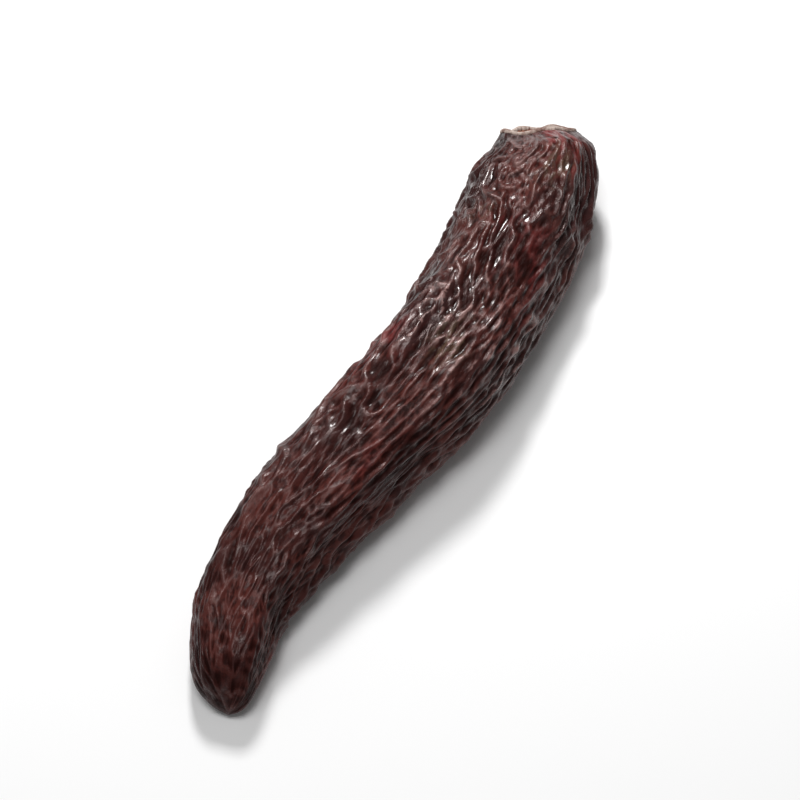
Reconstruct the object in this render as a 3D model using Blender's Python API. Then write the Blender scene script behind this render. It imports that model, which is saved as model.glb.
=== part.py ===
"""A dried chilli pod without its stalk, lying on its side as one closed solid.

Its rings start in the middle of the stem hole's floor, climb over the torn rim, run
along the pod and close at the tip. Each ring is a circle that is flattened, creased by
waves and set square to a spine that bends sideways and curls up at the stem end.
Metres, +Z up, +X along the pod towards its stem end, origin in the middle of the base.
"""

import bmesh
import bpy
import numpy as np

# Overall sizes
POD_LENGTH = 0.079
POD_HALF_WIDTH = 0.0077
FLATNESS = 0.86

# The outline: distance from the stem end as a share of the length, then half-width as a
# share of the widest
OUTLINE = (
    (0.045, 0.81),
    (0.13, 0.94),
    (0.27, 0.96),
    (0.42, 1.00),
    (0.57, 0.92),
    (0.72, 0.84),
    (0.86, 0.69),
    (0.94, 0.55),
    (0.976, 0.40),
    (0.994, 0.21),
)

# The hole that the stalk was pulled from, torn at a slant, with the pale rib that stands
# across its floor
HOLE_RADIUS = 0.0033
HOLE_DEPTH = 0.0050
RIM_WIDTH = 0.0012
RIM_TEAR = 0.00014
RIM_TEAR_REACH = 0.0030
RIM_SLANT = 0.0005
RIM_SLANT_TURN = np.radians(194)
RIM_TEAR_WAVES = {"around": 4, "along": 0.0, "lean": 0.8, "count": 9, "seed": 31}
RIB_HEIGHT = 0.0022
RIB_HALF_WIDTH = 0.0007
RIB_END = 0.40
RIB_TURN = np.radians(65)

# The spine: share of the length from the stem end, then distance sideways
SIDE_BEND = (
    (0.0, 0.0007),
    (0.05, -0.0014),
    (0.12, -0.0024),
    (0.26, -0.0031),
    (0.42, -0.0022),
    (0.56, 0.0006),
    (0.70, 0.0034),
    (0.84, 0.0048),
    (0.94, 0.0030),
    (1.0, 0.0009),
)
STEM_CURL_REACH = 0.016
STEM_CURL_ANGLE = np.radians(35)
TIP_CURL_REACH = 0.018
TIP_CURL_RISE = 0.0014

# How far the level underside would sink into the table. It is pressed flat there.
PRESSED_FLAT = 0.0005

# Broad folds, as waves round the pod and along it. The lean is how far they stray from
# running straight along the pod.
FOLDS = {"around": 4, "along": 2.2, "lean": 0.6, "count": 16, "seed": 12}
FOLD_DEPTH = 0.00055

# Wrinkles: three families of crest lines, one straight along the pod and two slanting
# across it. Each line drifts from side to side, most of all near the stem end, stands
# tall in some places only, and fades before the tip, where the lines would crowd together.
# The crest middle is the height on a crest that lies level with the plain pod.
CREST_FAMILIES = (
    {"lines": 24, "slant": 0, "seed": 3},
    {"lines": 20, "slant": 13, "seed": 8},
    {"lines": 21, "slant": -13, "seed": 15},
)
CREST_HEIGHT = 0.00075
CREST_WIDTH = 0.65
CREST_MIDDLE = 0.5
CREST_DRIFT = {"around": 5, "along": 6.0, "lean": 0.9, "count": 26}
DRIFT_SIZE = 2.0
STEM_DRIFT_SIZE = 1.2
STEM_DRIFT_REACH = 0.2
CREST_PATCHES = {"around": 3, "along": 4.0, "lean": 0.9, "count": 16}
TIP_FADE = 0.85
TIP_FADE_REACH = 0.16

# Mesh
HOLE_RINGS = 10
BODY_RINGS = 42
SIDES = 116
CURVE_STEPS = 24
# How far before and after a ring the spine is read for the way the ring faces
HEADING_STEP = 0.03 * POD_LENGTH
# Skin
SKIN_COLOUR = (0.050, 0.014, 0.011, 1.0)
SKIN_ROUGHNESS = 0.38


def smooth_chain(points, count):
    """Evenly spaced places on a smooth curve through the points, with the way to each."""
    points = np.array(points, float)
    padded = np.vstack([2 * points[0] - points[1], points, 2 * points[-1] - points[-2]])
    step = np.linspace(0, 1, CURVE_STEPS, endpoint=False)[:, None]
    stretches = []
    for before, start, end, after in zip(padded, padded[1:], padded[2:], padded[3:]):
        square = 2 * before - 5 * start + 4 * end - after
        cube = 3 * start - before - 3 * end + after
        stretches.append(start + 0.5 * ((end - before) * step + square * step**2 + cube * step**3))
    curve = np.vstack(stretches + [points[-1:]])
    lengths = np.linalg.norm(np.diff(curve, axis=0), axis=1)
    travelled = np.concatenate([[0.0], np.cumsum(lengths)])
    even = np.linspace(0.0, travelled[-1], count)
    places = np.stack([np.interp(even, travelled, column) for column in curve.T], axis=1)
    return places, even


def meridian(hole_rings, body_rings):
    """Distance from the stem end, radius and way from the rim of each ring, floor to tip."""
    rim = (0.0, HOLE_RADIUS + 0.5 * RIM_WIDTH)
    inward = [
        rim,
        (0.25 * HOLE_DEPTH, HOLE_RADIUS),
        (0.75 * HOLE_DEPTH, HOLE_RADIUS),
        (HOLE_DEPTH, 0.6 * HOLE_RADIUS),
        (HOLE_DEPTH, 0.0),
    ]
    shoulder = (0.4 * RIM_WIDTH, HOLE_RADIUS + RIM_WIDTH)
    sides = [(share * POD_LENGTH, width * POD_HALF_WIDTH) for share, width in OUTLINE]
    outward = [rim, shoulder] + sides + [(POD_LENGTH, 0.0)]
    hole, hole_way = smooth_chain(inward, hole_rings)
    body, body_way = smooth_chain(outward, body_rings)
    rings = np.vstack([hole[::-1], body[1:]])
    way = np.concatenate([-hole_way[::-1], body_way[1:]])
    return rings[:, 0], rings[:, 1], way


def spine(along):
    """The pod's middle line over its own base line, at distances from the stem end."""
    curl_radius = STEM_CURL_REACH / STEM_CURL_ANGLE
    curled = np.clip(STEM_CURL_REACH - along, 0.0, None)
    turned = curled / curl_radius
    near_tip = np.clip(1 - (POD_LENGTH - along) / TIP_CURL_REACH, 0.0, None)
    bend, _ = smooth_chain(SIDE_BEND, CURVE_STEPS * len(SIDE_BEND))
    x = -along - curled + curl_radius * np.sin(turned)
    y = np.interp(along / POD_LENGTH, bend[:, 0], bend[:, 1])
    z = curl_radius * (1 - np.cos(turned)) + TIP_CURL_RISE * near_tip**2
    return np.stack([x, y, z], axis=-1)


def unit(vectors):
    """The same directions at length one."""
    return vectors / np.linalg.norm(vectors, axis=-1, keepdims=True)


def wave_field(share, turn, around, along, lean, count, seed):
    """Many waves added up, each whole round the pod, most of them running along it."""
    draw = np.random.default_rng(seed)
    total = np.zeros(np.broadcast(share, turn).shape)
    for _ in range(count):
        slant = draw.normal(0.0, lean)
        waves_round = round(around * np.cos(slant) * draw.uniform(0.85, 1.15))
        waves_along = along * np.sin(slant)
        start = draw.uniform(0.0, 2 * np.pi)
        total += np.cos(waves_round * turn + 2 * np.pi * waves_along * share + start)
    return total * np.sqrt(2 / count)


def crest_lines(share, turn, lines, slant, seed):
    """Wrinkle crests that run along the pod: 1 on the tallest, 0 on the skin between them."""
    near_stem = np.exp(-np.clip(share, 0.0, None) / STEM_DRIFT_REACH)
    drift_size = DRIFT_SIZE + STEM_DRIFT_SIZE * near_stem
    drift = drift_size * wave_field(share, turn, seed=seed, **CREST_DRIFT)
    patches = wave_field(share, turn, seed=seed + 50, **CREST_PATCHES)
    stand = 0.5 + 0.5 * np.tanh(patches)
    off_crest = np.sin(0.5 * (lines * turn + 2 * np.pi * slant * share + drift))
    return stand * np.exp(-((off_crest / CREST_WIDTH) ** 2))


def relief(way, turn, radius):
    """How far the skin stands out at each place: broad folds, with wrinkles on them."""
    share = way / POD_LENGTH
    folds = wave_field(share, turn, **FOLDS)
    crests = [crest_lines(share, turn, **family) for family in CREST_FAMILIES]
    before_tip = 1 - TIP_FADE * np.exp(-(((1 - share) / TIP_FADE_REACH) ** 2))
    wrinkles = before_tip * (np.maximum.reduce(crests) - CREST_MIDDLE)
    return (FOLD_DEPTH * folds + CREST_HEIGHT * wrinkles) * radius / POD_HALF_WIDTH


def torn_rim(way, turn):
    """How far the rim and the skin beside it stand up or drop back round the hole."""
    tear = RIM_TEAR * wave_field(0.0, turn, **RIM_TEAR_WAVES)
    slant = RIM_SLANT * np.cos(turn - RIM_SLANT_TURN)
    return (tear + slant) * np.exp(-((way / RIM_TEAR_REACH) ** 2))


def floor_rib(radius, turn, way):
    """How far the rib stands up from the hole's floor; it falls away towards the wall."""
    beside = radius * np.sin(turn - RIB_TURN)
    from_wall = np.clip((1 - radius / HOLE_RADIUS) / RIB_END, 0.0, 1.0)
    rib = RIB_HEIGHT * from_wall * np.exp(-((beside / RIB_HALF_WIDTH) ** 2))
    return np.where(way < 0, rib, 0.0)


def pod_rings(hole_rings, body_rings, sides):
    """The skin's points, one row for each ring, from the hole's floor to the tip.

    A ring of the hole is lifted as far as the skin round it, so the wall keeps its
    thickness on the underside.
    """
    along, radius, way = (column[:, None] for column in meridian(hole_rings, body_rings))
    skin = way[:, 0] >= 0
    turn = np.linspace(0.0, 2 * np.pi, sides, endpoint=False)[None, :]
    out = radius + relief(way, turn, radius)
    risen = along - floor_rib(radius, turn, way)
    skin_radius = np.interp(risen, along[skin, 0], radius[skin, 0])
    along = risen - torn_rim(way, turn)
    heading = unit(spine(along + HEADING_STEP) - spine(along - HEADING_STEP))
    side = unit(np.cross(heading, [0.0, 0.0, 1.0]))
    up = np.cross(side, heading)
    across = (out * np.cos(turn))[..., None] * side
    upward = (FLATNESS * out * np.sin(turn))[..., None] * up
    rings = spine(along) + across + upward
    rings[..., 2] += FLATNESS * skin_radius - PRESSED_FLAT
    rings[..., 2] = np.maximum(rings[..., 2], 0.0)
    return rings


def centred(rings):
    """The same points with the middle of their base at the origin."""
    low, high = rings.min(axis=(0, 1)), rings.max(axis=(0, 1))
    middle = 0.5 * (low + high)
    middle[2] = low[2]
    return rings - middle


def skin_mesh(name, rings):
    """One closed mesh over the rings; the first and last ring are each a single point."""
    bm = bmesh.new()
    floor_middle = bm.verts.new(rings[0].mean(axis=0))
    loops = [[bm.verts.new(point) for point in ring] for ring in rings[1:-1]]
    tip = bm.verts.new(rings[-1].mean(axis=0))
    for start, end in zip(loops, loops[1:]):
        for i in range(len(start)):
            bm.faces.new((start[i - 1], end[i - 1], end[i], start[i]))
    for i in range(len(loops[0])):
        bm.faces.new((floor_middle, loops[0][i - 1], loops[0][i]))
        bm.faces.new((tip, loops[-1][i], loops[-1][i - 1]))
    bmesh.ops.triangulate(bm, faces=bm.faces)
    mesh = bpy.data.meshes.new(name)
    bm.to_mesh(mesh)
    bm.free()
    mesh.shade_smooth()
    return mesh


def skin_material():
    """Dark red-brown leathery skin."""
    material = bpy.data.materials.new("dried_skin")
    material.use_nodes = True
    shader = material.node_tree.nodes["Principled BSDF"]
    shader.inputs["Base Color"].default_value = SKIN_COLOUR
    shader.inputs["Roughness"].default_value = SKIN_ROUGHNESS
    shader.inputs["Metallic"].default_value = 0.0
    return material


def main():
    """Clear the file and model the pod."""
    for old in list(bpy.data.objects):
        bpy.data.objects.remove(old)
    mesh = skin_mesh("pod", centred(pod_rings(HOLE_RINGS, BODY_RINGS, SIDES)))
    mesh.materials.append(skin_material())
    bpy.context.scene.collection.objects.link(bpy.data.objects.new("pod", mesh))


main()
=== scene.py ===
# %% [markdown]
# # A dried chilli pod
#
# The object is one smoke-dried chilli pod, about 80 mm long, that has lost its stalk. As
# a fresh pod dries, its flesh shrinks more than its skin. The skin has nowhere to go, so
# it stands up in wrinkles. Most of them run along the pod, drift from side to side and
# meet at narrow angles. Nearly everything that the eye reads as "dried chilli" is in
# those wrinkles and in the oily gloss on their crests.
#
# The solid part is loaded first as a fixed frame. The lesson then makes the same pod
# again, with far more points, and gives every surface its finish.

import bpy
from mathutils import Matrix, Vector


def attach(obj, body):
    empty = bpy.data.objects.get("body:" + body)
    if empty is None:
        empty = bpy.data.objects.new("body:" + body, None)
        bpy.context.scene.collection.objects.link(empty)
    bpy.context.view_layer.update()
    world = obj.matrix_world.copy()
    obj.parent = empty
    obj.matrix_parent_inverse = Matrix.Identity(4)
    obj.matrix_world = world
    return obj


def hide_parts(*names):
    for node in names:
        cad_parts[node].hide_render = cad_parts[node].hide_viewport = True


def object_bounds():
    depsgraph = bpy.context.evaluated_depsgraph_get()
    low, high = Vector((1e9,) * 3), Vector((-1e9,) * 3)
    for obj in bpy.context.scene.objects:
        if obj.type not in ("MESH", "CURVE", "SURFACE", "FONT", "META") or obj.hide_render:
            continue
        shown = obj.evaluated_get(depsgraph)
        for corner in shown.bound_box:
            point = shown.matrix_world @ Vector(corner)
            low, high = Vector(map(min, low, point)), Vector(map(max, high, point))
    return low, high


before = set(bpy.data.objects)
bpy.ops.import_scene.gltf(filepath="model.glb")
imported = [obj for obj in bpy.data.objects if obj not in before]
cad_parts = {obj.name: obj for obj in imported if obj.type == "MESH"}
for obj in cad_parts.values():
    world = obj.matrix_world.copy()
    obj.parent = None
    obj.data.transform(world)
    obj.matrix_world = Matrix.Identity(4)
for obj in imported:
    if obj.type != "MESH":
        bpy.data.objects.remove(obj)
solid_box = [list(corner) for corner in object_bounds()]
print("nodes:", sorted(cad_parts), "box:", solid_box)

# %% [markdown]
# ## The size and line of the pod
#
# A pod could be sculpted by hand, but a turned form is easier to control: a list of
# half-widths along a line, like the profile on a lathe. These are the sizes that the
# solid was made from, so the dressed pod and the solid are one shape. Everything is in
# metres, unless a name or comment says millimetres, and shares of the length are counted
# from the stem end.

# %% Sizes of the pod
import bpy
import numpy as np
from mathutils import Vector

MM = 1000.0
POD_LENGTH = 0.079
POD_HALF_WIDTH = 0.0077
FLATNESS = 0.86
PRESSED_FLAT = 0.0005
OUTLINE = (
    (0.045, 0.81), (0.13, 0.94), (0.27, 0.96), (0.42, 1.00), (0.57, 0.92),
    (0.72, 0.84), (0.86, 0.69), (0.94, 0.55), (0.976, 0.40), (0.994, 0.21),
)
SIDE_BEND = (
    (0.0, 0.0007), (0.05, -0.0014), (0.12, -0.0024), (0.26, -0.0031), (0.42, -0.0022),
    (0.56, 0.0006), (0.70, 0.0034), (0.84, 0.0048), (0.94, 0.0030), (1.0, 0.0009),
)
STEM_CURL_REACH = 0.016
STEM_CURL_ANGLE = np.radians(35)
TIP_CURL_REACH = 0.018
TIP_CURL_RISE = 0.0014
print("length to width:", round(0.5 * POD_LENGTH / POD_HALF_WIDTH, 2))

# %% Sizes of the stem hole
HOLE_RADIUS = 0.0033
HOLE_DEPTH = 0.0050
RIM_WIDTH = 0.0012
RIM_TEAR = 0.00014
RIM_TEAR_REACH = 0.0030
RIM_SLANT = 0.0005
RIM_SLANT_TURN = np.radians(194)
RIM_TEAR_WAVES = {"around": 4, "along": 0.0, "lean": 0.8, "count": 9, "seed": 31}
RIB_HEIGHT = 0.0022
RIB_HALF_WIDTH = 0.0007
RIB_END = 0.40
RIB_TURN = np.radians(65)
print("hole in mm:", round(2 * MM * HOLE_RADIUS, 1), "wide,", round(MM * HOLE_DEPTH, 1), "deep")

# %% [markdown]
# ## A smooth line through a few points
#
# Ten half-widths aren't a smooth outline yet. A curve that passes through each point, and
# leaves it in the direction from the point before to the point after, rounds them off.
# The helper then walks along that curve and stops at even distances, because evenly
# spaced rings carry wrinkles of even quality. The distance walked from the rim is called
# the way: over the skin it counts up, and down into the hole it counts below nought.

# %% Smooth chain
CURVE_STEPS = 24


def smooth_chain(points, count):
    """Evenly spaced places on a smooth curve through the points, with the way to each."""
    points = np.array(points, float)
    padded = np.vstack([2 * points[0] - points[1], points, 2 * points[-1] - points[-2]])
    step = np.linspace(0, 1, CURVE_STEPS, endpoint=False)[:, None]
    stretches = []
    for before, start, end, after in zip(padded, padded[1:], padded[2:], padded[3:]):
        square = 2 * before - 5 * start + 4 * end - after
        cube = 3 * start - before - 3 * end + after
        stretches.append(start + 0.5 * ((end - before) * step + square * step**2 + cube * step**3))
    curve = np.vstack(stretches + [points[-1:]])
    lengths = np.linalg.norm(np.diff(curve, axis=0), axis=1)
    travelled = np.concatenate([[0.0], np.cumsum(lengths)])
    even = np.linspace(0.0, travelled[-1], count)
    places = np.stack([np.interp(even, travelled, column) for column in curve.T], axis=1)
    return places, even


# %% Lines of the skin and the hole
PROFILE_POINTS = 400
RIM_CREST = (0.0, HOLE_RADIUS + 0.5 * RIM_WIDTH)


def outside_line(rings):
    """Distance from the stem end, radius and way from the rim, from the rim to the tip."""
    shoulder = (0.4 * RIM_WIDTH, HOLE_RADIUS + RIM_WIDTH)
    sides = [(share * POD_LENGTH, width * POD_HALF_WIDTH) for share, width in OUTLINE]
    places, way = smooth_chain([RIM_CREST, shoulder] + sides + [(POD_LENGTH, 0.0)], rings)
    return places[:, 0], places[:, 1], way


def hole_line(rings):
    """The same from the rim to the middle of the hole's floor."""
    inward = [
        RIM_CREST, (0.25 * HOLE_DEPTH, HOLE_RADIUS), (0.75 * HOLE_DEPTH, HOLE_RADIUS),
        (HOLE_DEPTH, 0.6 * HOLE_RADIUS), (HOLE_DEPTH, 0.0),
    ]
    places, way = smooth_chain(inward, rings)
    return places[:, 0], places[:, 1], -way


print("way over the skin in mm:", round(MM * outside_line(PROFILE_POINTS)[2][-1], 1))

# %% [markdown]
# ## The spine
#
# The pod isn't straight. Seen from above it bends one way, then the other, and its stem
# end curls up off the table. Each ring of points is set square to this line, so the bend
# carries the wrinkles along with it and nothing is sheared. The line's direction at a
# ring is read from a little before the ring to a little after it. Too short a step there
# would let neighbouring rings of the hole tilt into each other.

# %% Spine
HEADING_STEP = 0.03 * POD_LENGTH


def spine(along):
    """The pod's middle line over its own base line, at distances from the stem end."""
    curl_radius = STEM_CURL_REACH / STEM_CURL_ANGLE
    curled = np.clip(STEM_CURL_REACH - along, 0.0, None)
    turned = curled / curl_radius
    near_tip = np.clip(1 - (POD_LENGTH - along) / TIP_CURL_REACH, 0.0, None)
    bend, _ = smooth_chain(SIDE_BEND, CURVE_STEPS * len(SIDE_BEND))
    x = -along - curled + curl_radius * np.sin(turned)
    y = np.interp(along / POD_LENGTH, bend[:, 0], bend[:, 1])
    z = curl_radius * (1 - np.cos(turned)) + TIP_CURL_RISE * near_tip**2
    return np.stack([x, y, z], axis=-1)


def unit(vectors):
    """The same directions at length one."""
    return vectors / np.linalg.norm(vectors, axis=-1, keepdims=True)


def ring_directions(along):
    """Towards the tip, sideways and up, for the ring at each distance."""
    heading = unit(spine(along + HEADING_STEP) - spine(along - HEADING_STEP))
    side = unit(np.cross(heading, [0.0, 0.0, 1.0]))
    return heading, side, np.cross(side, heading)


print("stem end over the base line in mm:", round(MM * float(spine(np.array(0.0))[2]), 1))

# %% [markdown]
# ## Wrinkles
#
# Wrinkles could be carved by hand or come from a noise texture. Noise gives blobs with no
# direction, and dried skin has a strong one. Two things made of waves look more like it.
#
# The broad folds are many long waves added up. The wrinkles are families of crest lines:
# each line runs along the pod, a slow wave pushes it from side to side, and another
# decides where it stands tall and where it fades out. Two quicker waves shake the line a
# little and notch it, because no real wrinkle is drawn in one stroke. One family runs
# straight and two slant across it, so the lines meet at narrow angles as they do on the
# real skin. Every wave goes round the pod a whole number of times, which leaves no seam.

# %% Waves
def wave_field(share, turn, around, along, lean, count, seed):
    """Many waves added up, each whole round the pod, most of them running along it."""
    draw = np.random.default_rng(seed)
    total = np.zeros(np.broadcast(share, turn).shape)
    for _ in range(count):
        slant = draw.normal(0.0, lean)
        waves_round = round(around * np.cos(slant) * draw.uniform(0.85, 1.15))
        waves_along = along * np.sin(slant)
        start = draw.uniform(0.0, 2 * np.pi)
        total += np.cos(waves_round * turn + 2 * np.pi * waves_along * share + start)
    return total * np.sqrt(2 / count)


# %% Crest lines
CREST_DRIFT = {"around": 5, "along": 6.0, "lean": 0.9, "count": 26}
DRIFT_SIZE = 2.0
STEM_DRIFT_SIZE = 1.2
STEM_DRIFT_REACH = 0.2
CREST_PATCHES = {"around": 3, "along": 4.0, "lean": 0.9, "count": 16}
CREST_ROUNDING = 0.12
CREST_JITTER = {"around": 13, "along": 22.0, "lean": 0.8, "count": 40}
JITTER_SIZE = 0.9
JITTER_FAR_FROM_STEM = 0.5
CREST_BREAKS = {"around": 12, "along": 16.0, "lean": 0.8, "count": 40}
BREAK_SIZE = 0.28


def crest_lines(share, turn, lines, slant, seed, width, sway=1.0, kept=0.0):
    """Wrinkle crests that run along the pod: 1 on the tallest, 0 on the skin between them.

    The sway is how far the lines stray sideways. The kept share of their height is there
    even where they fade out.
    """
    near_stem = np.exp(-np.clip(share, 0.0, None) / STEM_DRIFT_REACH)
    drift_size = DRIFT_SIZE + STEM_DRIFT_SIZE * near_stem
    drift = drift_size * wave_field(share, turn, seed=seed, **CREST_DRIFT)
    jitter_size = JITTER_SIZE * (JITTER_FAR_FROM_STEM + near_stem)
    drift = drift + jitter_size * wave_field(share, turn, seed=seed + 90, **CREST_JITTER)
    patches = wave_field(share, turn, seed=seed + 50, **CREST_PATCHES)
    breaks = wave_field(share, turn, seed=seed + 70, **CREST_BREAKS)
    stand = kept + (1 - kept) * (0.5 + 0.5 * np.tanh(patches))
    stand = stand * (1 - BREAK_SIZE + BREAK_SIZE * np.tanh(2 * breaks))
    off_crest = np.sin(0.5 * (lines * turn + 2 * np.pi * slant * share + sway * drift))
    fall = np.hypot(off_crest, CREST_ROUNDING) - CREST_ROUNDING
    return stand * np.exp(-fall / width)


# %% [markdown]
# ### The net of small cells
#
# Near the stem end and the tip the skin shrank in every direction, so there the long
# wrinkles break up into a net of small hollows. A net comes from points strewn over the
# skin: each place belongs to its nearest point, and where the two nearest are equally far
# away, there is an edge. The points are set in rows round the pod, as many in each row as
# fit, so the hollows stay the same size right down to the tip. The spacing and the width
# of an edge are in millimetres.

# %% Net of cells
from mathutils.kdtree import KDTree

CELL_SPACING = 1.25
CELL_STRETCH = 1.5
CELL_EDGE = 0.34
FIRST_ROW = 0.3
TURN_SCATTER = 0.42
WAY_SCATTER = 0.45
CELL_SEED = 61
CELL_SWAY = {"around": 9, "along": 11.0, "lean": 0.8, "count": 24}
CELL_SWAY_TURN = 0.07
CELL_SWAY_WAY = 0.0006


def cell_points(profile, seed):
    """Places of the cells' middles in mm, in rows round a pod with this profile."""
    draw = np.random.default_rng(seed)
    along, radius, way = profile
    row_spacing = CELL_SPACING * CELL_STRETCH
    middles = []
    for row_way in np.arange(FIRST_ROW * CELL_SPACING, MM * way[-1], row_spacing):
        row_radius = MM * np.interp(row_way / MM, way, radius)
        count = max(3, round(2 * np.pi * row_radius / CELL_SPACING))
        scatter = draw.uniform(0, 1) + draw.uniform(-TURN_SCATTER, TURN_SCATTER, count)
        turns = 2 * np.pi * (np.arange(count) + scatter) / count
        ways = row_way + draw.uniform(-WAY_SCATTER, WAY_SCATTER, count) * row_spacing
        for turn, cell_way in zip(turns, ways):
            x, y = row_radius * np.cos(turn), row_radius * np.sin(turn)
            middles.append((x, y, cell_way / CELL_STRETCH))
    return middles


print("cells in the net:", len(cell_points(outside_line(PROFILE_POINTS), CELL_SEED)))


def cell_edges(way, turn, radius, seed):
    """1 on the edges of the net, falling to 0 inside its hollows."""
    middles = cell_points(outside_line(PROFILE_POINTS), seed)
    tree = KDTree(len(middles))
    for number, middle in enumerate(middles):
        tree.insert(middle, number)
    tree.balance()
    share = way / POD_LENGTH
    turn = turn + CELL_SWAY_TURN * wave_field(share, turn, seed=seed + 1, **CELL_SWAY)
    way = way + CELL_SWAY_WAY * wave_field(share, turn, seed=seed + 2, **CELL_SWAY)
    places = [radius * np.cos(turn), radius * np.sin(turn), way / CELL_STRETCH]
    places = MM * np.stack(places, axis=-1)
    gaps = []
    for place in places.reshape(-1, 3):
        nearest, second = tree.find_n(place, 2)
        gaps.append(second[2] - nearest[2])
    return np.exp(-np.array(gaps).reshape(places.shape[:2]) / CELL_EDGE)


# %% Where the net stands
CELL_HEIGHT = 0.00036
CELL_MIDDLE = 0.4
NET_EVERYWHERE = 0.40
NET_AT_STEM = 0.5
NET_AT_TIP = 0.75
STEM_CELLS_REACH = 0.20
TIP_CELLS_REACH = 0.20
TIP_CELLS_FROM = 1.05
NET_PATCHES = {"around": 3, "along": 5.0, "lean": 0.9, "count": 16, "seed": 71}
NET_PATCHINESS = 0.35
CALM_RIM = 0.0015


def net_strength(way, turn):
    """How tall the net stands: most at both ends, in patches, and not at all on the rim."""
    share = way / POD_LENGTH
    at_stem = NET_AT_STEM * np.exp(-((share / STEM_CELLS_REACH) ** 2))
    at_tip = NET_AT_TIP * np.exp(-(((TIP_CELLS_FROM - share) / TIP_CELLS_REACH) ** 2))
    patches = np.tanh(wave_field(share, turn, **NET_PATCHES))
    net = (NET_EVERYWHERE + at_stem + at_tip) * np.clip(way / CALM_RIM, 0.0, 1.0)
    return net * (1 - NET_PATCHINESS + NET_PATCHINESS * patches)


net_places = POD_LENGTH * np.array([0.05, 0.5, 0.95])
print("net near the stem, in the middle and near the tip:", net_strength(net_places, 0.0).round(2))


# %% [markdown]
# ### Soft spots, and a comb of ridges
#
# Some things happen in one place only: long fine ridges over the middle of the pod, red
# skin beside the rim, and a painted highlight on some crests. Each is a soft spot, listed:
# share of the length, turn round the pod (90 degrees is the top), reach along, reach
# around and strength. The comb of long fine ridges takes over from the wrinkles where its
# spots are, because over the middle the skin shrank from side to side only.

# %% Soft spots
MOST_OF_A_SPOT = 1.5
COMB_SPOTS = (
    (0.42, 128, 0.17, 75, 1.0),
    (0.68, 120, 0.12, 70, 0.5),
)
COMB = {"lines": 43, "slant": 2, "seed": 33, "width": 0.42, "sway": 0.45, "kept": 0.55}
COMB_HEIGHT = 0.00054
COMB_OVER_WRINKLES = 0.50
COMB_OVER_SMALL = 0.75


def soft_spots(way, turn, spots):
    """Strength of the listed spots at each place, each fading out from its middle."""
    total = np.zeros(np.broadcast(way, turn).shape)
    for spot_share, spot_turn, reach_along, reach_around, strength in spots:
        off_turn = (np.degrees(turn) - spot_turn + 180) % 360 - 180
        off_share = way / POD_LENGTH - spot_share
        distance = (off_share / reach_along) ** 2 + (off_turn / reach_around) ** 2
        total += strength * np.exp(-distance)
    return np.clip(total, 0.0, MOST_OF_A_SPOT)


comb_top = soft_spots(POD_LENGTH * np.array([0.1, 0.42, 0.9]), np.radians(90), COMB_SPOTS)
print("comb on top near the stem, in the middle and near the tip:", comb_top.round(2))


# %% [markdown]
# ### All the relief together
#
# The folds and the first wrinkles are the ones that the solid has too. The solid has few
# points, so its crests are wide; here they are narrow, as on the real pod. Between them
# lie small wrinkles about a millimetre apart, the net of cells, the comb, and a fine
# grain of shallow waves. The wrinkles fade before the tip, where they would crowd
# together.
#
# The relief comes with a note of how high on a wrinkle each place is, from 0 to 1. The
# finish needs it: crests are partly worn pale and partly painted with highlight, and the
# valleys are painted with shade.

# %% Relief
FOLDS = {"around": 4, "along": 2.2, "lean": 0.6, "count": 16, "seed": 12}
FOLD_DEPTH = 0.00055
CREST_FAMILIES = (
    {"lines": 24, "slant": 0, "seed": 3},
    {"lines": 20, "slant": 13, "seed": 8},
    {"lines": 21, "slant": -13, "seed": 15},
)
CREST_HEIGHT = 0.00105
CREST_WIDTH = 0.40
CREST_MIDDLE = 0.5
SMALL_FAMILIES = (
    {"lines": 46, "slant": 24, "seed": 21},
    {"lines": 41, "slant": -38, "seed": 27},
)
SMALL_HEIGHT = 0.00030
SMALL_WIDTH = 0.40
SMALL_MIDDLE = 0.4
GRAIN = {"around": 48, "along": 34.0, "lean": 0.8, "count": 60, "seed": 5}
GRAIN_DEPTH = 0.00003
TIP_FADE = 0.85
TIP_FADE_REACH = 0.08
NOTED = {"wrinkles": 0.75, "small": 0.30, "cells": 0.40, "ridges": 0.80, "comb": -0.075, "tip": 0.03}


def relief(way, turn, radius):
    """How far the skin stands out, and how high on a wrinkle each place is."""
    share = way / POD_LENGTH
    folds = wave_field(share, turn, **FOLDS)
    crests = [crest_lines(share, turn, width=CREST_WIDTH, **family) for family in CREST_FAMILIES]
    wrinkles = np.maximum.reduce(crests)
    small = [crest_lines(share, turn, width=SMALL_WIDTH, **family) for family in SMALL_FAMILIES]
    small_wrinkles = np.maximum.reduce(small)
    comb = np.clip(soft_spots(way, turn, COMB_SPOTS), 0.0, 1.0)
    ridges = comb * crest_lines(share, turn, **COMB)
    wrinkles = wrinkles * (1 - COMB_OVER_WRINKLES * comb)
    small_wrinkles = small_wrinkles * (1 - COMB_OVER_SMALL * comb)
    grain = wave_field(share, turn, **GRAIN)
    cells = cell_edges(way, turn, radius, CELL_SEED)
    net = net_strength(way, turn)
    before_tip = 1 - TIP_FADE * np.exp(-(((1 - share) / TIP_FADE_REACH) ** 2))

    height = FOLD_DEPTH * folds + CREST_HEIGHT * before_tip * (wrinkles - CREST_MIDDLE)
    height = height + SMALL_HEIGHT * before_tip * (small_wrinkles - SMALL_MIDDLE)
    height = height + GRAIN_DEPTH * grain + COMB_HEIGHT * ridges
    thickness = radius / POD_HALF_WIDTH
    net_height = CELL_HEIGHT * net * (cells - CELL_MIDDLE)
    height = height * thickness + net_height * np.sqrt(thickness)

    crest = before_tip * (NOTED["wrinkles"] * wrinkles + NOTED["small"] * small_wrinkles)
    crest = crest + NOTED["cells"] * net * cells + NOTED["ridges"] * ridges
    # The comb's share lowers the note over the comb, so its valleys take more painted shade.
    crest = crest + NOTED["comb"] * comb + NOTED["tip"] * (1 - before_tip)
    return height, np.clip(crest, 0.0, 1.0)


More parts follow.
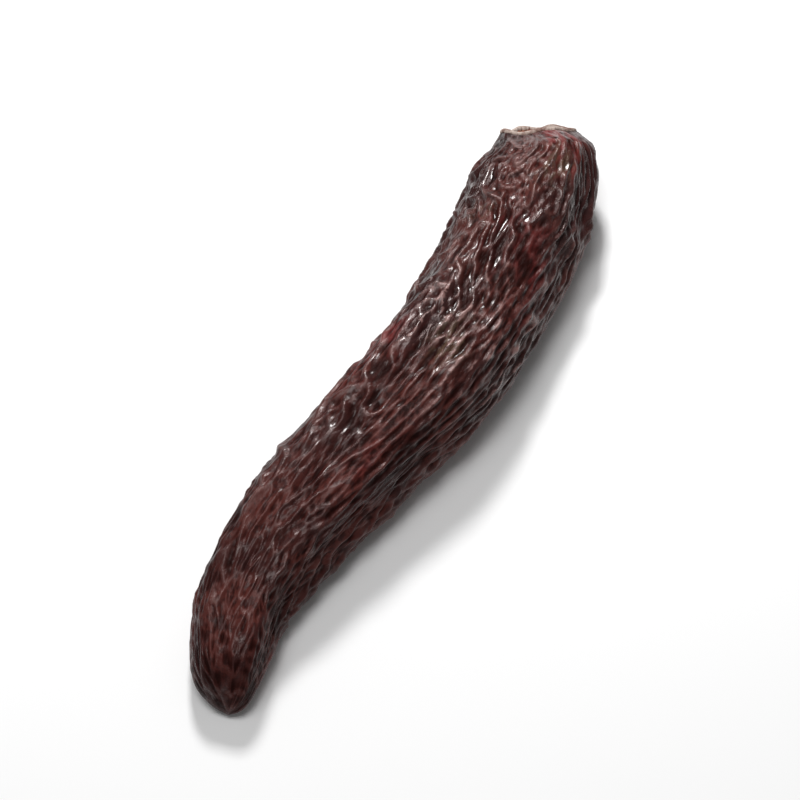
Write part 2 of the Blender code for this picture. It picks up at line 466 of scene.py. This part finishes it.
# %% [markdown]
# ## Rings of points
#
# The rim is torn at a slant. It stands up in some places and has dropped back in others,
# and a rib stands on the hole's floor. These are pushes along the spine instead of away
# from it.
#
# Each ring is then lifted, so that the pod lies on the table instead of being threaded on
# its own middle line. A ring of the hole is lifted as far as the skin round it. Lifted by
# its own smaller radius, the hole's wall would lie on the pod's underside and show through
# it. What would still lie under the table is pressed flat, as it is where a real pod rests.

# %% Pushes along the spine
def torn_rim(way, turn):
    """How far the rim and the skin beside it stand up or drop back round the hole."""
    tear = RIM_TEAR * wave_field(0.0, turn, **RIM_TEAR_WAVES)
    slant = RIM_SLANT * np.cos(turn - RIM_SLANT_TURN)
    return (tear + slant) * np.exp(-((way / RIM_TEAR_REACH) ** 2))


def from_hole_wall(radius):
    """0 on the hole's wall, rising to 1 further in, where the rib has its full height."""
    return np.clip((1 - radius / HOLE_RADIUS) / RIB_END, 0.0, 1.0)


def floor_rib(radius, turn, way):
    """How far the rib stands up from the hole's floor; it falls away towards the wall."""
    beside = radius * np.sin(turn - RIB_TURN)
    rib = RIB_HEIGHT * from_hole_wall(radius) * np.exp(-((beside / RIB_HALF_WIDTH) ** 2))
    return np.where(way < 0, rib, 0.0)


rim_pushes = MM * torn_rim(0.0, np.linspace(0, 2 * np.pi, 100))
print("rim in mm, most dropped back:", rim_pushes.min().round(2))
print("rim in mm, most standing up:", rim_pushes.max().round(2))


# %% Rings
SKIN_RINGS = 300
SIDES = 320


def rounded_off(height):
    """The same heights, each averaged with its neighbours: skin can't bend to a spike."""
    height = 0.5 * height + 0.25 * (np.roll(height, 1, axis=1) + np.roll(height, -1, axis=1))
    inner = 0.5 * height[1:-1] + 0.25 * (height[:-2] + height[2:])
    return np.vstack([height[:1], inner, height[-1:]])


def pod_rings(line, sides):
    """Points on the pod, one row for each ring, and what the finishes need at each."""
    along, radius, way = (column[:, None] for column in line)
    turn = np.linspace(0.0, 2 * np.pi, sides, endpoint=False)[None, :]
    height, crest = relief(way, turn, radius)
    out = radius + (rounded_off(height) if len(along) > 2 else height)
    risen = along - floor_rib(radius, turn, way)
    skin_radius = np.interp(risen, *outside_line(SKIN_RINGS)[:2])
    pushed = risen - torn_rim(way, turn)
    heading, side, up = ring_directions(pushed)
    across = (out * np.cos(turn))[..., None] * side
    upward = (FLATNESS * out * np.sin(turn))[..., None] * up
    rings = spine(pushed) + across + upward
    rings[..., 2] += FLATNESS * skin_radius - PRESSED_FLAT
    rings[..., 2] = np.maximum(rings[..., 2], 0.0)
    way, turn = np.broadcast_arrays(way, turn)
    skin_place = MM * np.stack([radius * np.cos(turn), radius * np.sin(turn), way], axis=-1)
    return {"points": rings, "crest": crest, "skin_place": skin_place, "way": way, "turn": turn}


skin = pod_rings(outside_line(SKIN_RINGS), SIDES)
low, high = skin["points"].min(axis=(0, 1)), skin["points"].max(axis=(0, 1))
solid_middle = 0.5 * (np.array(solid_box[0]) + np.array(solid_box[1]))
shift = solid_middle - 0.5 * (low + high)
shift[2] = 0.0
print("dressed pod in mm:", (MM * (high - low)).round(1), "shift:", (MM * shift).round(2))

# %% [markdown]
# ## From rings to a mesh
#
# The rings are joined by four-sided faces, and the last ring is drawn together into one
# point. Each point keeps notes for the finish, such as how high on a wrinkle it is, how
# red its skin is, and its place on the pod as it was before it was bent. A pattern drawn
# by that last note follows the bend instead of cutting through it.

# %% Mesh from rings
def new_mesh(name, points, faces):
    """A smooth object over the points, in the scene."""
    mesh = bpy.data.meshes.new(name)
    mesh.from_pydata(points.tolist(), [], faces)
    mesh.shade_smooth()
    made = bpy.data.objects.new(name, mesh)
    bpy.context.scene.collection.objects.link(made)
    return made


def ring_mesh(name, rings):
    """A mesh over the rings, with a single point in place of the last ring."""
    points = rings["points"] + shift
    sides = points.shape[1]
    vertices = np.vstack([points[:-1].reshape(-1, 3), points[-1].mean(axis=0)])
    end = len(vertices) - 1
    place = np.arange(end).reshape(-1, sides)
    beside = np.roll(place, -1, axis=1)
    quads = np.stack([place[:-1], place[1:], beside[1:], beside[:-1]], axis=-1).reshape(-1, 4)
    last = [(int(b), int(a), end) for a, b in zip(place[-1], beside[-1])]
    return new_mesh(name, vertices, quads.tolist() + last)


def note(made, rings, name):
    """Keeps one of the notes on the mesh, for its material to read."""
    values = rings[name]
    values = values.reshape(len(values), values.shape[1], -1)
    flat = np.vstack([values[:-1].reshape(-1, values.shape[2]), values[-1].mean(axis=0)])
    kind, field = ("FLOAT_VECTOR", "vector") if flat.shape[1] == 3 else ("FLOAT", "value")
    layer = made.data.attributes.new(name, kind, "POINT")
    layer.data.foreach_set(field, flat.astype(np.float32).ravel())


# %% [markdown]
# ### Where the skin is red, tan or dry, and where highlight is painted on
#
# A smoke-dried pod is nearly black where the wall is thick and maroon where it is thin
# and light gets in. In a few places the skin is tan; the tan spot on top of the middle is
# painted highlight as well. Along one stretch the crests carry a pale painted highlight.
# These are soft spots again. Towards the tip the oil has dried up, so the skin there is
# duller.

# %% Notes on the skin
RED_SPOTS = (
    (0.025, 128, 0.055, 32, 1.9),
    (0.13, 165, 0.060, 20, 0.35),
    (0.22, 95, 0.080, 40, 0.55),
    (0.30, 140, 0.060, 22, 0.45),
    (0.48, 48, 0.080, 26, 0.7),
    (0.62, 120, 0.070, 22, 0.4),
    (0.95, 100, 0.060, 200, 0.2),
)
# Tan spots; the first, on top of the middle, is a painted highlight as well.
TAN_AND_HIGHLIGHT_SPOTS = (
    (0.42, 100, 0.050, 20, 1.0),
    (0.08, 110, 0.050, 25, 0.8),
    (0.20, 60, 0.050, 25, 0.5),
)
# Painted highlight: pale crests over the middle of the pod.
PAINTED_HIGHLIGHT_SPOTS = ((0.37, 115, 0.17, 80, 1.35),)
DRY_FROM = 0.35
DRY_REACH = 0.40

skin["red"] = soft_spots(skin["way"], skin["turn"], RED_SPOTS)
skin["tan_and_highlight"] = soft_spots(skin["way"], skin["turn"], TAN_AND_HIGHLIGHT_SPOTS)
skin["painted_highlight"] = soft_spots(skin["way"], skin["turn"], PAINTED_HIGHLIGHT_SPOTS)
skin["dry"] = np.clip((skin["way"] / POD_LENGTH - DRY_FROM) / DRY_REACH, 0.0, 1.0)
pod_skin = ring_mesh("pod_skin", skin)
for name in ("crest", "skin_place", "red", "tan_and_highlight", "painted_highlight", "dry"):
    note(pod_skin, skin, name)
print("skin faces:", len(pod_skin.data.polygons))

# %% [markdown]
# ## Helpers for materials
#
# A material here is a small network: patterns on the left, mixed step by step into a
# colour, a roughness and a bump on the right. A few short helpers keep the networks
# readable.

# %% Node helpers
def new_material(name):
    """A new material, with its tree and its shader."""
    material = bpy.data.materials.new(name)
    material.use_nodes = True
    return material, material.node_tree, material.node_tree.nodes["Principled BSDF"]


def fill(tree, socket, value):
    """Links a socket to another node's output, or sets it to a plain value."""
    if isinstance(value, bpy.types.NodeSocket):
        tree.links.new(value, socket)
    else:
        socket.default_value = value


def attribute(tree, name, output="Fac"):
    """One of the notes that the mesh carries."""
    reader = tree.nodes.new("ShaderNodeAttribute")
    reader.attribute_name = name
    return reader.outputs[output]


NOISE_ROUGHNESS = 0.55


def noise(tree, place, per_mm, stretch, detail):
    """Cloudy pattern with so many spots to the millimetre, drawn out along the pod."""
    mapping = tree.nodes.new("ShaderNodeMapping")
    fill(tree, mapping.inputs["Vector"], place)
    mapping.inputs["Scale"].default_value = (per_mm, per_mm, per_mm / stretch)
    texture = tree.nodes.new("ShaderNodeTexNoise")
    fill(tree, texture.inputs["Vector"], mapping.outputs[0])
    texture.inputs["Scale"].default_value = 1.0
    texture.inputs["Detail"].default_value = detail
    texture.inputs["Roughness"].default_value = NOISE_ROUGHNESS
    return texture.outputs["Fac"]


# %% Mixing helpers
def ramp(tree, value, start, end, low=0.0, high=1.0):
    """Eases a value from low at start to high at end."""
    mapper = tree.nodes.new("ShaderNodeMapRange")
    mapper.interpolation_type = "SMOOTHSTEP"
    fill(tree, mapper.inputs["Value"], value)
    mapper.inputs["From Min"].default_value = start
    mapper.inputs["From Max"].default_value = end
    mapper.inputs["To Min"].default_value = low
    mapper.inputs["To Max"].default_value = high
    return mapper.outputs[0]


def combine(tree, operation, first, second):
    """Adds, multiplies or otherwise combines two numbers."""
    maths = tree.nodes.new("ShaderNodeMath")
    maths.operation = operation
    fill(tree, maths.inputs[0], first)
    fill(tree, maths.inputs[1], second)
    return maths.outputs[0]


def product(tree, *numbers):
    """All the numbers multiplied together."""
    total = numbers[0]
    for number in numbers[1:]:
        total = combine(tree, "MULTIPLY", total, number)
    return total


def blend_colours(tree, share, first, second):
    """The first colour where share is 0, the second where it is 1."""
    mixer = tree.nodes.new("ShaderNodeMix")
    mixer.data_type = "RGBA"
    fill(tree, mixer.inputs[0], share)
    fill(tree, mixer.inputs[6], first)
    fill(tree, mixer.inputs[7], second)
    return mixer.outputs[2]


def bump(tree, height, depth, under=None):
    """Fine relief for the light only; the depth is in metres."""
    bumper = tree.nodes.new("ShaderNodeBump")
    bumper.inputs["Strength"].default_value = 1.0
    bumper.inputs["Distance"].default_value = depth
    fill(tree, bumper.inputs["Height"], height)
    if under is not None:
        fill(tree, bumper.inputs["Normal"], under)
    return bumper.outputs[0]


# %% [markdown]
# ## The skin's finish
#
# Up close the skin has several things going on. Its ground is a black-brown that clouds
# into maroon, with dark specks in it. The red and tan places are laid over that, one by
# one; the tan on top of the middle is a painted highlight as well. The crests are paler,
# partly where the skin is stretched thin and a little worn and partly as painted highlight,
# and along one stretch they get a brighter painted highlight. The valleys are painted with
# shade, nearly black, laid on last so that nothing lights them up again.

# %% Skin colour
# Painted shade for the valleys; also the dark of the lining's fibres.
VALLEY_SHADE_AND_FIBRE_DARK = (0.010, 0.0024, 0.0019, 1)
DARK_SPECK = (0.026, 0.0075, 0.0070, 1)
GROUND = (0.080, 0.0185, 0.0145, 1)
# Worn crest colour, bright enough to be a painted highlight as well.
WORN_AND_HIGHLIGHT_CREST = (0.170, 0.086, 0.076, 1)
# Painted highlight for the crests over the middle.
PAINTED_CREST_HIGHLIGHT = (0.250, 0.138, 0.126, 1)
RED_THIN = (0.165, 0.0130, 0.0135, 1)
# Tan skin, and the painted highlight on top of the middle.
TAN_AND_HIGHLIGHT = (0.095, 0.060, 0.036, 1)
CLOUDS = {"per_mm": 0.16, "stretch": 2.0, "detail": 4}
MOTTLE = {"per_mm": 0.7, "stretch": 2.5, "detail": 5}
SPECKS = {"per_mm": 1.5, "stretch": 1.6, "detail": 4}
STREAKS = {"per_mm": 2.0, "stretch": 3.0, "detail": 5}


def skin_patterns(tree):
    """What the skin's colour and shine are drawn by: the place, the crests and four noises."""
    place = attribute(tree, "skin_place", "Vector")
    noises = [noise(tree, place, **kind) for kind in (CLOUDS, MOTTLE, SPECKS, STREAKS)]
    return place, attribute(tree, "crest"), *noises


def skin_colour(tree, crest, clouds, mottle, specks, streaks):
    """Clouded black-brown with red and tan places, pale crests that are part wear and part painted
    highlight, and painted shade in the valleys.
    """
    colour = blend_colours(tree, ramp(tree, clouds, 0.35, 0.65), DARK_SPECK, GROUND)
    colour = blend_colours(tree, ramp(tree, specks, 0.52, 0.40, 0.0, 0.75), colour, DARK_SPECK)
    red = product(tree, attribute(tree, "red"), ramp(tree, mottle, 0.40, 0.62))
    colour = blend_colours(tree, ramp(tree, red, 0.05, 0.95, 0.0, 0.75), colour, RED_THIN)
    # Tan places, one of them a painted highlight on top of the middle.
    tan_and_highlight = product(tree, attribute(tree, "tan_and_highlight"), ramp(tree, streaks, 0.38, 0.62))
    colour = blend_colours(tree, ramp(tree, tan_and_highlight, 0.1, 1.0, 0.0, 0.7), colour, TAN_AND_HIGHLIGHT)
    # Part wear, part painted highlight: the crests turn pale in patches.
    worn_and_highlight = product(
        tree,
        ramp(tree, crest, 0.35, 0.95),
        ramp(tree, mottle, 0.40, 0.60, 0.1, 1.0),
        ramp(tree, clouds, 0.35, 0.60, 0.3, 1.0),
        ramp(tree, red, 0.2, 1.0, 1.0, 0.35),
    )
    colour = blend_colours(tree, ramp(tree, worn_and_highlight, 0.0, 1.0, 0.0, 0.8), colour, WORN_AND_HIGHLIGHT_CREST)
    # Painted highlight: the crests in the highlight spots turn pale.
    painted_highlight = product(
        tree,
        ramp(tree, crest, 0.20, 0.65),
        ramp(tree, specks, 0.44, 0.58),
        attribute(tree, "painted_highlight"),
    )
    colour = blend_colours(tree, ramp(tree, painted_highlight, 0.0, 1.0, 0.0, 0.8), colour, PAINTED_CREST_HIGHLIGHT)
    # Painted shade: the low places on the wrinkles are darkened nearly to black.
    painted_valley_shade = ramp(tree, crest, 0.27, 0.05, 0.0, 0.90)
    return blend_colours(tree, painted_valley_shade, colour, VALLEY_SHADE_AND_FIBRE_DARK)


# %% [markdown]
# ### The skin's shine
#
# Oil has dried on the skin in patches, so some places are glossy and others dull. The
# gloss is a thin clear coat over the skin's own shine. The shine sinks away in the
# valleys, and both grow weaker towards the dry tip. A grain finer than any wrinkle breaks
# the highlights up.

# %% Skin material
WARM_SHINE = (1.0, 0.84, 0.82, 1)
OIL_ROUGHNESS = 0.12
STREAK_DEPTH = 0.00015
PORES = {"per_mm": 7.0, "stretch": 1.5, "detail": 3}
PORE_DEPTH = 0.00003


def make_skin_material():
    """Dark wrinkled skin with oily patches and a fine grain."""
    material, tree, shader = new_material("dried_skin")
    place, crest, clouds, mottle, specks, streaks = skin_patterns(tree)
    colour = skin_colour(tree, crest, clouds, mottle, specks, streaks)
    tree.links.new(colour, shader.inputs["Base Color"])

    mottle_dull = ramp(tree, mottle, 0.3, 0.7, 0.0, 0.14)
    cloud_dull = ramp(tree, clouds, 0.35, 0.65, 0.18, 0.28)
    tree.links.new(combine(tree, "ADD", mottle_dull, cloud_dull), shader.inputs["Roughness"])

    dry = attribute(tree, "dry")
    crest_shine = ramp(tree, crest, 0.08, 0.45, 0.04, 0.48)
    shine = product(tree, crest_shine, ramp(tree, dry, 0, 1, 1.0, 0.7))
    tree.links.new(shine, shader.inputs["Specular IOR Level"])
    oil_streaks = ramp(tree, streaks, 0.45, 0.62)
    oil_clouds = ramp(tree, clouds, 0.62, 0.38, 0.20, 0.70)
    oil = product(tree, oil_streaks, oil_clouds, ramp(tree, dry, 0, 1, 1.0, 0.3))
    tree.links.new(oil, shader.inputs["Coat Weight"])
    shader.inputs["Coat Roughness"].default_value = OIL_ROUGHNESS
    shader.inputs["Specular Tint"].default_value = WARM_SHINE

    fine_streaks = bump(tree, streaks, STREAK_DEPTH)
    pores = bump(tree, noise(tree, place, **PORES), PORE_DEPTH, fine_streaks)
    tree.links.new(pores, shader.inputs["Normal"])
    return material


pod_skin.data.materials.append(make_skin_material())
print("skin material nodes:", len(pod_skin.data.materials[0].node_tree.nodes))

# %% [markdown]
# ## Inside the stem hole
#
# Where the stalk was pulled away, the pod shows its inner wall. It is orange-red in some
# patches and olive-brown in others, with a pale spongy rib across the floor. The wall is
# the same turned line as the solid's hole, on more rings. The rib's pale colour reaches a
# little further to each side than its height does.

# %% Hole lining
LINING_RINGS = 60
RIB_PALE_HALF_WIDTH = 1.3 * RIB_HALF_WIDTH
lining = pod_rings(hole_line(LINING_RINGS), SIDES)
lining_radius = hole_line(LINING_RINGS)[1][:, None]
beside_rib = lining_radius * np.sin(lining["turn"] - RIB_TURN)
pale = np.exp(-((beside_rib / RIB_PALE_HALF_WIDTH) ** 2))
lining["rib"] = from_hole_wall(lining_radius) * pale
hole_lining = ring_mesh("hole_lining", lining)
hole_lining.data.flip_normals()
for name in ("skin_place", "rib"):
    note(hole_lining, lining, name)
print("lining faces:", len(hole_lining.data.polygons))

# %% Lining material
WALL_RED = (0.230, 0.038, 0.010, 1)
WALL_OLIVE = (0.110, 0.062, 0.020, 1)
RIB_CREAM = (0.460, 0.300, 0.150, 1)
WALL_PATCHES = {"per_mm": 0.35, "stretch": 1.0, "detail": 3}
WALL_FIBRES = {"per_mm": 2.4, "stretch": 4.0, "detail": 4}
WALL_FIBRE_DEPTH = 0.0003


def make_lining_material():
    """Inner wall of the pod: orange-red to olive, with a pale rib."""
    material, tree, shader = new_material("inner_wall")
    place = attribute(tree, "skin_place", "Vector")
    patches = noise(tree, place, **WALL_PATCHES)
    fibres = noise(tree, place, **WALL_FIBRES)
    colour = blend_colours(tree, ramp(tree, patches, 0.4, 0.6), WALL_RED, WALL_OLIVE)
    colour = blend_colours(tree, ramp(tree, fibres, 0.62, 0.38, 0.0, 0.6), colour, VALLEY_SHADE_AND_FIBRE_DARK)
    colour = blend_colours(tree, ramp(tree, attribute(tree, "rib"), 0.25, 0.8), colour, RIB_CREAM)
    tree.links.new(colour, shader.inputs["Base Color"])
    tree.links.new(ramp(tree, fibres, 0.3, 0.7, 0.38, 0.6), shader.inputs["Roughness"])
    tree.links.new(bump(tree, fibres, WALL_FIBRE_DEPTH), shader.inputs["Normal"])
    return material


hole_lining.data.materials.append(make_lining_material())
print("lining material nodes:", len(hole_lining.data.materials[0].node_tree.nodes))

# %% [markdown]
# ## The torn rim
#
# The skin's broken edge is pale, because it shows the dry wall in section. It is a thin
# lip that follows the rim, with low teeth where fibres held on longer. A lip with a real
# thickness catches a light line, which a painted edge wouldn't.

# %% Torn rim
LIP_HEIGHT = 0.00068
LIP_HALF_THICKNESS = 0.00027
LIP_SIDES = 10
LIP_SINK = 0.00025
TEETH = {"around": 7, "along": 0.0, "lean": 0.9, "count": 20, "seed": 41}
TEETH_TALLER = 0.0875
TEETH_THICKER = 0.14
FRAY = {"around": 40, "along": 0.0, "lean": 0.9, "count": 20, "seed": 43}
FRAY_TALLER = 0.01875
FRAY_THINNER = 0.03


def lip_rings():
    """A closed lip round the hole: an upright oval section at each turn."""
    rim = pod_rings(tuple(column[:1] for column in outside_line(SKIN_RINGS)), SIDES)
    middle = rim["points"][0]
    turn = rim["turn"][0]
    heading, side, up = (direction[0] for direction in ring_directions(np.zeros((1, 1))))
    radial = unit(np.cos(turn)[:, None] * side + FLATNESS * np.sin(turn)[:, None] * up)
    teeth = wave_field(0.0, turn, **TEETH)
    fray = wave_field(0.0, turn, **FRAY)
    tall = LIP_HEIGHT * (1 + TEETH_TALLER * teeth + FRAY_TALLER * fray)
    thick = LIP_HALF_THICKNESS * (1 + TEETH_THICKER * teeth - FRAY_THINNER * fray)
    rings = []
    for angle in np.linspace(0, 2 * np.pi, LIP_SIDES, endpoint=False):
        outward = (thick * np.cos(angle))[:, None] * radial
        rise = 0.5 * tall * (1 + np.sin(angle)) - LIP_SINK
        rings.append(middle + outward - rise[:, None] * heading)
    return np.stack(rings)


def tube_mesh(name, points):
    """A mesh over rings that also join the last ring to the first."""
    count, sides = points.shape[:2]
    place = np.arange(count * sides).reshape(count, sides)
    beside = np.roll(place, -1, axis=1)
    above = np.roll(place, -1, axis=0)
    across = np.roll(beside, -1, axis=0)
    quads = np.stack([place, beside, across, above], axis=-1).reshape(-1, 4)
    return new_mesh(name, points.reshape(-1, 3) + shift, quads.tolist())


rim_lip = tube_mesh("torn_rim", lip_rings())
print("rim faces:", len(rim_lip.data.polygons))

# %% Rim material
RIM_PALE = (0.420, 0.330, 0.285, 1)
RIM_BROWN = (0.170, 0.090, 0.070, 1)
RIM_PATCHES = {"per_mm": 0.8, "stretch": 1.0, "detail": 4}
RIM_FIBRES = {"per_mm": 5.0, "stretch": 1.0, "detail": 4}
RIM_FIBRE_DEPTH = 0.00006


def make_rim_material():
    """The broken edge of the wall: pale, with brown where it has dried hard."""
    material, tree, shader = new_material("torn_edge")
    coordinates = tree.nodes.new("ShaderNodeTexCoord")
    millimetres = tree.nodes.new("ShaderNodeMapping")
    tree.links.new(coordinates.outputs["Object"], millimetres.inputs["Vector"])
    millimetres.inputs["Scale"].default_value = (MM, MM, MM)
    patches = noise(tree, millimetres.outputs[0], **RIM_PATCHES)
    fibres = noise(tree, millimetres.outputs[0], **RIM_FIBRES)
    colour = blend_colours(tree, ramp(tree, patches, 0.42, 0.62), RIM_PALE, RIM_BROWN)
    tree.links.new(colour, shader.inputs["Base Color"])
    tree.links.new(ramp(tree, fibres, 0.3, 0.7, 0.45, 0.7), shader.inputs["Roughness"])
    tree.links.new(bump(tree, fibres, RIM_FIBRE_DEPTH), shader.inputs["Normal"])
    return material


rim_lip.data.materials.append(make_rim_material())
print("rim material nodes:", len(rim_lip.data.materials[0].node_tree.nodes))

# %% [markdown]
# ## The table and the light
#
# The pod lies on a plain white table under soft light from above. A big soft light alone
# would make the skin look like clay, so a smaller one by the stem end draws the bright
# lines along the crests.

# %% Table
TABLE_HALF = 0.9
TABLE_WHITE = (0.92, 0.92, 0.92, 1)
TABLE_ROUGHNESS = 0.9
table_mesh = bpy.data.meshes.new("table")
corners = [(TABLE_HALF * x, TABLE_HALF * y, 0) for x, y in ((-1, -1), (1, -1), (1, 1), (-1, 1))]
table_mesh.from_pydata(corners, [], [(0, 1, 2, 3)])
table = bpy.data.objects.new("table", table_mesh)
bpy.context.scene.collection.objects.link(table)
table_material, _, table_shader = new_material("white_table")
table_shader.inputs["Base Color"].default_value = TABLE_WHITE
table_shader.inputs["Roughness"].default_value = TABLE_ROUGHNESS
table_mesh.materials.append(table_material)
print("table in m:", 2 * TABLE_HALF)


# %% Lights
SKY_STRENGTH = 0.18


def soft_light(name, place, size, power):
    """A square light that looks at the pod."""
    lamp = bpy.data.lights.new(name, "AREA")
    lamp.size = size
    lamp.energy = power
    holder = bpy.data.objects.new(name, lamp)
    holder.location = place
    holder.rotation_euler = (-Vector(place)).to_track_quat("-Z", "Y").to_euler()
    bpy.context.scene.collection.objects.link(holder)


soft_light("overhead", place=(-0.10, 0.12, 0.85), size=0.40, power=3.3)
soft_light("window", place=(0.17, 0.10, 0.22), size=0.050, power=0.72)
sky = bpy.data.worlds.new("sky")
sky.use_nodes = True
backdrop = sky.node_tree.nodes["Background"]
backdrop.inputs["Color"].default_value = (1, 1, 1, 1)
backdrop.inputs["Strength"].default_value = SKY_STRENGTH
bpy.context.scene.world = sky
bpy.context.scene.view_settings.view_transform = "Standard"
print("lights:", [lamp.name for lamp in bpy.data.lights])

# %% [markdown]
# ## The camera
#
# The photograph looks down on the pod from its tip's side, so that the stem end points
# up and to the right. A long lens keeps its proportions true.

# %% Camera
VIEW_TURN = np.radians(-64.5)
VIEW_HEIGHT = np.radians(60)
VIEW_DISTANCE = 0.45
SENSOR = 36.0
FRAME_WIDTH = 0.088
LOOK_AT = Vector((0.0, 0.0, 0.006))
lens = bpy.data.cameras.new("camera")
lens.sensor_width = SENSOR
lens.lens = SENSOR * VIEW_DISTANCE / FRAME_WIDTH
lens.clip_start = 0.01
camera = bpy.data.objects.new("camera", lens)
back = Vector((
    np.sin(VIEW_TURN) * np.cos(VIEW_HEIGHT),
    -np.cos(VIEW_TURN) * np.cos(VIEW_HEIGHT),
    np.sin(VIEW_HEIGHT),
))
camera.location = LOOK_AT + VIEW_DISTANCE * back
camera.rotation_euler = (-back).to_track_quat("-Z", "Y").to_euler()
bpy.context.scene.collection.objects.link(camera)
bpy.context.scene.camera = camera
print("frame width at the pod in mm:", round(MM * FRAME_WIDTH))

# %% [markdown]
# ## Attach the pieces
#
# Every piece moves with the one body of this object, and together they stand for its one
# solid.

for piece in (pod_skin, hole_lining, rim_lip):
    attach(piece, "root")
    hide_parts("pod")
